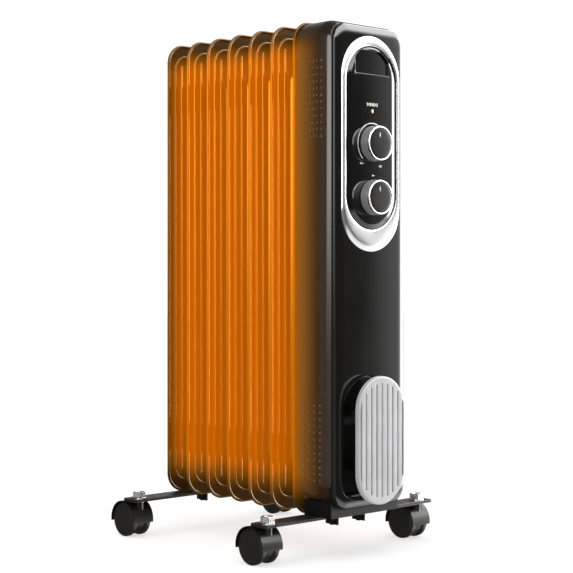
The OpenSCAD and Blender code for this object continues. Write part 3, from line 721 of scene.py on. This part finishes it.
class HEATER_OT_controls(bpy.types.Operator):
    """Build the bezel, the panel with its printed marks, the lamp and both knobs"""

    bl_idname = "heater.controls"
    bl_label = "Controls"

    def execute(self, context):
        self.bezel()
        self.panel()
        self.lamp()
        self.marks()
        for name, z in KNOB_HEIGHTS.items():
            self.knob(name, z)
        return {"FINISHED"}

    def slot_ring(self, bm, half, low, high, y):
        """The edges of an upright slot shape, in millimetres."""
        return outline(bm, half * MM, low * MM, high * MM, depth(y), half * MM, half * MM,
                       sizes().corner_segments * 2)

    def bezel(self):
        """A dome between two slot shapes of half width, bottom and top."""
        bm = bmesh.new()
        outer = (43.0, 318.2, 542.2)
        inner = (37.4, 340.7, 531.7)
        rings = []
        for t, y in ((0.0, 0.6), (0.0, 0.0), (0.03, -0.22), (0.08, -0.5), (0.16, -0.95),
                     (0.24, -1.34), (0.31, -1.6), (0.38, -1.7), (0.46, -1.76), (0.6, -1.8),
                     (0.78, -1.76), (0.9, -1.71), (0.95, -1.6), (0.98, -1.3), (1.0, -0.7),
                     (1.0, 1.0)):
            half, low, high = [a + (b - a) * t for a, b in zip(outer, inner)]
            rings.append(self.slot_ring(bm, half, low, high, y))
        lofted(bm, rings)
        finish_mesh("panel_bezel_domed", bm, "bezel_chrome", hides=("panel_bezel",), angle=50)

    def panel(self):
        """Rings of half width, bottom, top and depth up to the panel's raised face."""
        n = sizes().corner_segments * 2
        bm = bmesh.new()
        rings = [self.slot_ring(bm, *ring) for ring in (
            (37.4, 340.7, 531.7, 1.5), (37.36, 340.74, 531.66, 0.0),
            (36.4, 341.5, 531.2, -0.5), (34.4, 342.7, 530.8, -1.05),
            (32.6, 344.0, 530.2, -1.55), (31.2, 345.1, 529.6, -1.95),
            (30.5, 345.7, 529.2, -2.2), (30.0, 346.1, 528.8, -2.35))]
        half, grip = 29.5 * MM, 25 * MM
        face = round_face(bm, -half, half, 346.6 * MM, 528.4 * MM, depth(PANEL_FACE), half,
                          half, n)
        lofted(bm, rings + [list(face.edges)])
        hole = round_face(bm, -grip, grip, 502 * MM, 527 * MM, depth(PANEL_FACE), grip,
                          2.2 * MM, n)
        mouth = open_field(bm, face, [hole])[0]
        press(bm, mouth, ((0.25, -0.06), (0.25, -0.22), (0.15, -0.5), (0.15, -3.6)))
        bmesh.ops.delete(bm, geom=[mouth], context="FACES_ONLY")
        finish_mesh("control_panel_stepped", bm, "panel_black", hides=("control_panel",),
                    angle=50)

    def lamp(self):
        bm = bmesh.new()
        spun(bm, ((0, -3.3), (0.7, -3.2), (1.3, -2.95), (1.55, -2.6), (1.6, -2.0), (1.6, 1.0)),
             LAMP_HEIGHT, 24)
        bmesh.ops.scale(bm, vec=(1, 1, 1.35), verts=bm.verts,
                        space=Matrix.Translation((0, 0, -LAMP_HEIGHT)))
        finish_mesh("power_lamp_lens", bm, "lamp_amber", hides=("power_lamp",))

    def knob(self, name, z):
        body = name + "_dial"
        steps = 96
        bm = bmesh.new()
        spun(bm, ((3.0, -12.0), (17.2, -12.0), (17.75, -12.5), (18.0, -11.9), (18.15, -9.0),
                  (18.3, -6.0), (18.4, -4.2), (18.3, -3.3), (17.9, -2.9), (16.4, -2.9),
                  (16.4, -8.0), (3.0, -8.0)), z, steps)
        finish_mesh(name + "_skirt", bm, "knob_silver", body, (name + "_knob",), angle=35)
        bm = bmesh.new()
        spun(bm, ((17.75, -12.3), (17.8, -13.8), (17.7, -14.6), (17.4, -14.92), (17.0, -15.0),
                  (16.7, -14.9), (16.5, -14.6), (16.42, -14.0), (16.4, -13.0)), z, steps)
        finish_mesh(name + "_rim", bm, "ring_chrome", body, (name + "_ring",), angle=60)
        bm = bmesh.new()
        spun(bm, ((0, -14.55), (8, -14.54), (13, -14.5), (15.8, -14.42), (16.35, -14.25),
                  (16.45, -13.0)), z, steps)
        finish_mesh(name + "_disc", bm, "cap_black", body, (name + "_cap",), angle=40)
        bm = bmesh.new()
        self.crescent(bm, z + 8.6 * MM, 2.9 * MM, depth(-14.8))
        finish_mesh(name + "_pointer", bm, "mark_white", body, angle=30)

    def crescent(self, bm, z, size, y):
        """A slim raised crescent that is open to the right."""
        first = bm.verts.new((-0.2 * size, y, z - size))
        bmesh.ops.spin(bm, geom=[first], cent=(1.1 * size, y, z), axis=(0, 1, 0),
                       angle=math.radians(75), steps=10)
        heights = [v.co.z for v in bm.verts]
        low, high = min(heights), max(heights)
        grown = bmesh.ops.extrude_edge_only(bm, edges=bm.edges[:])["geom"]
        for v in only(bmesh.types.BMVert, grown):
            t = min(max((v.co.z - low) / (high - low), 0.0), 1.0)
            v.co.x += (0.42 * math.sin(math.pi * t) + 0.02) * size
        thicken(bm, 0.5 * MM)

    def marks(self):
        """Six printed arcs round the thermostat knob and the plain signs, all on the panel."""
        bm = bmesh.new()
        y, z = depth(PANEL_FACE), KNOB_HEIGHTS["thermostat"]
        first, pitch, gap, radius = 228.0, 40.0, 2.2, 20.8 * MM
        for k in range(6):
            start = math.radians(first - pitch * k)
            thick = (0.9 + 0.1 * k) * MM
            ends = [bm.verts.new((math.cos(start) * r, y, z + math.sin(start) * r))
                    for r in (radius, radius + thick)]
            bmesh.ops.spin(bm, geom=ends + [bm.edges.new(ends)], cent=(0, y, z),
                           axis=(0, 1, 0), angle=math.radians(pitch - gap), steps=10)
        self.bars(bm, y, 470.9 * MM, ((-7.4, 1.3, 3.6), (-5.0, 1.3, 2.6), (-2.6, 1.3, 3.6),
                                      (-0.2, 1.3, 2.6), (2.2, 1.3, 3.6), (4.6, 1.3, 2.6),
                                      (7.0, 1.3, 3.6)))
        self.bars(bm, y, 409.2 * MM, ((-17.8, 0.8, 1.6), (-16.2, 0.8, 2.6), (-14.6, 0.8, 1.6),
                                      (-12.6, 0.7, 0.9)))
        self.bars(bm, y, 407.2 * MM, ((10.0, 0.9, 1.4), (11.6, 0.9, 2.4), (13.2, 0.9, 3.2)))
        self.bars(bm, y, 397.2 * MM, ((0.2, 0.9, 2.6), (1.9, 2.2, 0.9)))
        thicken(bm, -sizes().mark_height)
        finish_mesh("panel_marks", bm, "mark_white", angle=30)

    def bars(self, bm, y, z, items):
        """A sign of small upright bars: (middle, width, height) of each in millimetres."""
        for x, width, height in items:
            round_face(bm, (x - width / 2) * MM, (x + width / 2) * MM, z - height / 2 * MM,
                       z + height / 2 * MM, y, 0.2 * MM, 0.2 * MM, 2)


class HEATER_OT_cord_plate(bpy.types.Operator):
    """Build the ribbed silver plate in front of the pocket"""

    bl_idname = "heater.cord_plate"
    bl_label = "Cord plate"

    def execute(self, context):
        n = sizes().corner_segments * 2
        low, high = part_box("cord_wrap_plate")
        half = high.x
        bm = bmesh.new()
        face = round_face(bm, -half, half, low.z, high.z, high.y, half, half, n)
        bmesh.ops.reverse_faces(bm, faces=[face])
        front = round_face(bm, -half, half, low.z, high.z, high.y, half, half, n)
        press(bm, front, ((0.0005, 1.7), (0.35, 0.12), (0.05, 0.35), (-0.3, 0.12), (0.02, 1.6),
                          (0.12, 0.42), (0.3, 0.36), (0.45, 0.26), (0.6, 0.14), (0.9, 0.06),
                          (1.0, 0.0)))
        top = front.verts[0].co.y
        end_radius, end_gap, slot_half = 34.1, 6.4, 1.75 * MM
        slots = []
        for x in [(i - 4) * 7.8 for i in range(9)]:
            end = (end_radius - math.sqrt(end_radius ** 2 - x * x) + end_gap) * MM
            slots.append(round_face(bm, x * MM - slot_half, x * MM + slot_half, low.z + end,
                                    high.z - end, top, slot_half, slot_half, 5))
        for groove in open_field(bm, front, slots):
            press(bm, groove, ((0.4, -0.07), (0.3, -0.2), (0.15, -0.6), (0.1, -1.6)))
        finish_mesh("cord_wrap_plate_ribbed", bm, "plate_silver", hides=("cord_wrap_plate",))
        return {"FINISHED"}


class HEATER_OT_feet(bpy.types.Operator):
    """Build the foot bars, the stem nuts and the caster wheels"""

    bl_idname = "heater.feet"
    bl_label = "Feet"

    def execute(self, context):
        for node in ("front_foot_bar", "rear_foot_bar"):
            self.bar(node)
        self.nuts()
        for corner in CORNERS:
            for place in ("outer", "inner"):
                self.wheel(corner, place)
        return {"FINISHED"}

    def bar(self, node):
        low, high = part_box(node)
        middle = (low.y + high.y) / 2
        bm = bmesh.new()
        face = round_face(bm, low.x, high.x, -BAR_DEPTH / 2, BAR_DEPTH / 2, 0, 4 * MM, 4 * MM, 6)
        press(bm, face, ((0.15, 0.25), (0.25, 0.15), (0.0005, 2.2), (0.25, 0.15), (0.15, 0.25)))
        top, hole_x, half, end = face.verts[0].co.y, 121.6 * MM, 1.5 * MM, 3.4 * MM
        holes = [round_face(bm, x - half, x + half, -end, end, top, half, half, 5)
                 for x in (-hole_x, hole_x)]
        for hole in open_field(bm, face, holes):
            press(bm, hole, ((0.15, -0.15), (0.05, -2.6)))
        bmesh.ops.transform(bm, matrix=Matrix.Translation((0, middle, low.z))
                            @ Matrix.Rotation(math.radians(-90), 4, "X"), verts=bm.verts)
        finish_mesh(node + "_coated", bm, "bar_black", hides=(node,), angle=50)

    def nuts(self):
        low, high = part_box("caster_nuts")
        bm = bmesh.new()
        for bar in ("front_foot_bar", "rear_foot_bar"):
            a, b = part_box(bar)
            for side in (-1, 1):
                place = Matrix.Translation((side * STEM_X, (a.y + b.y) / 2, low.z))
                self.nut(bm, place, high.z - low.z)
        finish_mesh("caster_nuts_plated", bm, "nut_chrome", hides=("caster_nuts",), angle=35)

    def nut(self, bm, place, height):
        """A nut on its flange: rings of radius, height and share of a hexagon's shape."""
        top = height / MM
        half_side = math.radians(30)
        chain = []
        for radius, z, share in (
                (8.6, 0.0, 0), (8.6, 0.9, 0), (8.2, 1.3, 0), (7.4, 1.55, 0), (7.5, 1.5, 1),
                (7.5, top - 0.9, 1), (6.9, top - 0.2, 0.55), (6.2, top, 0), (4.5, top, 0),
                (4.1, top - 0.4, 0), (4.0, top - 2.2, 0)):
            ring = bmesh.ops.create_circle(
                bm, segments=24, radius=radius * MM,
                matrix=place @ Matrix.Translation((0, 0, z * MM)))["verts"]
            for v in ring:
                local = place.inverted() @ v.co
                corner = abs(math.atan2(local.y, local.x) % (2 * half_side) - half_side)
                hexagon = math.cos(half_side) / math.cos(corner)
                scale = 1 + (hexagon - 1) * share
                v.co = place @ Vector((local.x * scale, local.y * scale, local.z))
            chain.append(list({e for v in ring for e in v.link_edges}))
        lofted(bm, chain)

    def wheel(self, corner, place):
        node = "wheel_%s_%s" % (corner, place)
        low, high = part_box(node)
        centre = (low + high) / 2
        outward = 1 if (corner.endswith("right") == (place == "outer")) else -1
        bm = bmesh.new()
        width = (high.x - low.x) / MM
        # (radius, distance from the inner face) in millimetres
        profile = ((2.05, 0.0), (16.8, 0.0), (17.4, 0.3), (18.2, 0.7), (18.8, 1.4), (19.0, 2.2),
                   (19.0, width - 3.2), (18.85, width - 2.5), (18.4, width - 1.9),
                   (17.6, width - 1.45), (17.0, width - 1.3), (16.8, width - 1.55),
                   (16.5, width - 1.6), (16.2, width - 1.3), (15.0, width - 0.85),
                   (12.0, width - 0.42), (8.0, width - 0.12), (3.0, width), (0.0, width))
        verts = [bm.verts.new((centre.x + outward * (x - width / 2) * MM, centre.y,
                               centre.z + r * MM)) for r, x in profile]
        edges = [bm.edges.new(pair) for pair in zip(verts, verts[1:])]
        bmesh.ops.spin(bm, geom=verts + edges, cent=centre, axis=(1, 0, 0), angle=math.tau,
                       steps=72, use_merge=True)
        finish_mesh(node + "_moulded", bm, "wheel_black", node, (node,), angle=38)


class HEATER_OT_fittings(bpy.types.Operator):
    """Give every CAD node that stays its finish and soft edges"""

    bl_idname = "heater.fittings"
    bl_label = "Fittings"

    # finish, width of the soft edges in millimetres, CAD nodes
    FITTINGS = (
        ("hardware_black", 0.6, ("foot_saddle",)),
        ("hardware_black", 0.25, ("foot_u_bolts", "foot_wing_nuts")),
        ("grip_black", 0.3, ("grip_cup",)),
        ("pocket_black", 0.4, ("cord_wrap_drum",)),
        ("gasket_rubber", 0.4, ("cord_gland",)),
        ("gasket_rubber", 0.0, ("element_gasket",)),
        ("zinc_steel", 0.4, ("filler_plug",)),
        ("zinc_steel", 0.25, ("cover_screws", "thermostat_shaft", "selector_shaft",
                              "caster_stems")),
        ("collector_enamel", 0.3, ("top_collector", "bottom_collector")),
        ("element_steel", 0.3, ("heating_elements", "element_flange")),
        ("cutout_ceramic", 0.3, ("thermal_cutout",)),
        ("switch_plastic", 0.4, ("thermostat_body", "selector_switch_body", "tip_switch",
                                 "terminal_block")),
        ("bob_steel", 0.2, ("tip_pendulum",)),
        ("lead_insulation", 0.0, ("wiring_loom",)),
    )

    def execute(self, context):
        for material, bevel, nodes in self.FITTINGS:
            for node in nodes:
                finish_node(node, material, bevel)
        for corner in CORNERS:
            finish_node("caster_hood_" + corner, "hood_black", 0.4)
            finish_node("caster_axle_" + corner, "zinc_steel", 0.2)
        return {"FINISHED"}


class HEATER_OT_stage(bpy.types.Operator):
    """Build the pale floor, the soft studio light and the camera"""

    bl_idname = "heater.stage"
    bl_label = "Stage"

    def execute(self, context):
        self.floor()
        self.sky()
        self.lamp()
        self.camera()
        bpy.context.scene.view_settings.view_transform = "Standard"
        return {"FINISHED"}

    def floor(self):
        bm = bmesh.new()
        bmesh.ops.create_grid(bm, x_segments=1, y_segments=1, size=6)
        mesh = bpy.data.meshes.new("floor")
        bm.to_mesh(mesh)
        bm.free()
        material = bpy.data.materials.new("floor_pale")
        material.use_nodes = True
        shader = material.node_tree.nodes["Principled BSDF"]
        shader.inputs["Base Color"].default_value = (0.5, 0.5, 0.5, 1)
        shader.inputs["Roughness"].default_value = 0.8
        shader.inputs["Specular IOR Level"].default_value = 0.0
        shader.inputs["Emission Color"].default_value = (1, 1, 1, 1)
        shader.inputs["Emission Strength"].default_value = 0.62
        mesh.materials.append(material)
        piece = bpy.data.objects.new("floor", mesh)
        piece.visible_glossy = False
        bpy.context.scene.collection.objects.link(piece)

    def sky(self):
        world = bpy.data.worlds.new("studio")
        bpy.context.scene.world = world
        world.use_nodes = True
        world.cycles.sampling_method = "NONE"
        tree = world.node_tree
        tree.nodes.clear()
        direction = add_node(tree, "ShaderNodeTexCoord").outputs["Generated"]
        x, y, z = axes(tree, direction)
        # degrees round the heater from straight in front, positive towards -X
        around = product(tree, maths(tree, "ARCTAN2", product(tree, x, -1.0),
                                     product(tree, y, -1.0)), 180 / math.pi)
        total = ease(tree, z, -0.25, 0.9, 0.09, 0.2)
        # soft boxes: degrees from and to, softness, lowest and highest z, softness, strength
        for a0, a1, soft, z0, z1, zsoft, power in (
                (-84.0, -55.0, 3.0, -0.12, 0.22, 0.10, 13.0),
                (-95.0, -47.6, 2.2, -0.35, 0.4, 0.2, 1.9),
                (41.0, 60.0, 4.0, 0.08, 0.45, 0.13, 6.5),
                (5.0, 95.0, 22.0, -0.5, 0.5, 0.25, 0.3),
                (-100.0, 20.0, 20.0, 0.30, 0.80, 0.10, 9.5),
                (-80.0, -15.0, 10.0, -0.62, -0.30, 0.10, 2.2),
                (-170.0, -115.0, 14.0, -0.1, 0.6, 0.15, 0.25)):
            rise = ease(tree, around, a0 - soft, a0)
            fall = ease(tree, around, a1, a1 + soft, 1.0, 0.0)
            up = ease(tree, z, z0 - zsoft, z0)
            down = ease(tree, z, z1, z1 + zsoft, 1.0, 0.0)
            total = maths(tree, "ADD", total, product(tree, rise, fall, up, down, power))
        # glossy rays see the soft boxes, all others an even sky, and the camera a brighter one
        path = add_node(tree, "ShaderNodeLightPath").outputs
        even_light, camera_extra = 0.85, 0.4
        gloss = product(tree, path["Is Glossy Ray"], total)
        plain = product(tree, maths(tree, "SUBTRACT", 1.0, path["Is Glossy Ray"]), even_light)
        seen = product(tree, path["Is Camera Ray"], camera_extra)
        light = add_node(tree, "ShaderNodeBackground")
        light.inputs["Color"].default_value = (1, 1, 1, 1)
        wire(tree, maths(tree, "ADD", maths(tree, "ADD", gloss, plain), seen),
             light.inputs["Strength"])
        wire(tree, light.outputs[0], add_node(tree, "ShaderNodeOutputWorld").inputs["Surface"])

    def lamp(self):
        data = bpy.data.lights.new("overhead", "AREA")
        data.shape = "SQUARE"
        data.size = 1.6
        data.energy = 9.0
        lamp = bpy.data.objects.new("overhead", data)
        bpy.context.scene.collection.objects.link(lamp)
        lamp.location = (-0.3, -0.4, 1.7)
        aim = Vector((0, 0, 0.2)) - lamp.location
        lamp.rotation_euler = aim.to_track_quat("-Z", "Y").to_euler()
        lamp.visible_glossy = False

    def camera(self):
        data = bpy.data.cameras.new("camera")
        data.sensor_width = 36
        data.lens = 90.5
        data.shift_x = 0.0056
        data.shift_y = -0.0316
        camera = bpy.data.objects.new("camera", data)
        bpy.context.scene.collection.objects.link(camera)
        camera.location = (-1.078, -1.1844, 0.3005)
        camera.rotation_euler = (math.radians(90), 0, math.radians(-42.31))
        bpy.context.scene.camera = camera


PIECES = (
    HEATER_OT_finishes, HEATER_OT_fins, HEATER_OT_side_shell, HEATER_OT_front_cover,
    HEATER_OT_controls, HEATER_OT_cord_plate, HEATER_OT_feet, HEATER_OT_fittings,
    HEATER_OT_stage,
)


class HEATER_PT_panel(bpy.types.Panel):
    """Sizes, colours and building steps of the heater"""

    bl_idname = "HEATER_PT_panel"
    bl_label = "Radiator heater"
    bl_space_type = "VIEW_3D"
    bl_region_type = "UI"
    bl_category = "Heater"

    def draw(self, context):
        for group in (context.scene.heater_sizes, context.scene.heater_colours):
            for name in group.__annotations__:
                self.layout.prop(group, name)
        for piece in PIECES:
            self.layout.operator(piece.bl_idname)


CLASSES = (HeaterSizes, HeaterColours) + PIECES + (HEATER_PT_panel,)


def register():
    for item in CLASSES:
        bpy.utils.register_class(item)
    bpy.types.Scene.heater_sizes = PointerProperty(type=HeaterSizes)
    bpy.types.Scene.heater_colours = PointerProperty(type=HeaterColours)


def unregister():
    del bpy.types.Scene.heater_colours
    del bpy.types.Scene.heater_sizes
    for item in reversed(CLASSES):
        bpy.utils.unregister_class(item)


def main():
    register()
    bpy.ops.heater.finishes()
    bpy.ops.heater.fins()
    bpy.ops.heater.side_shell()
    bpy.ops.heater.front_cover()
    bpy.ops.heater.controls()
    bpy.ops.heater.cord_plate()
    bpy.ops.heater.feet()
    bpy.ops.heater.fittings()
    bpy.ops.heater.stage()


if __name__ == "__main__":
    main()
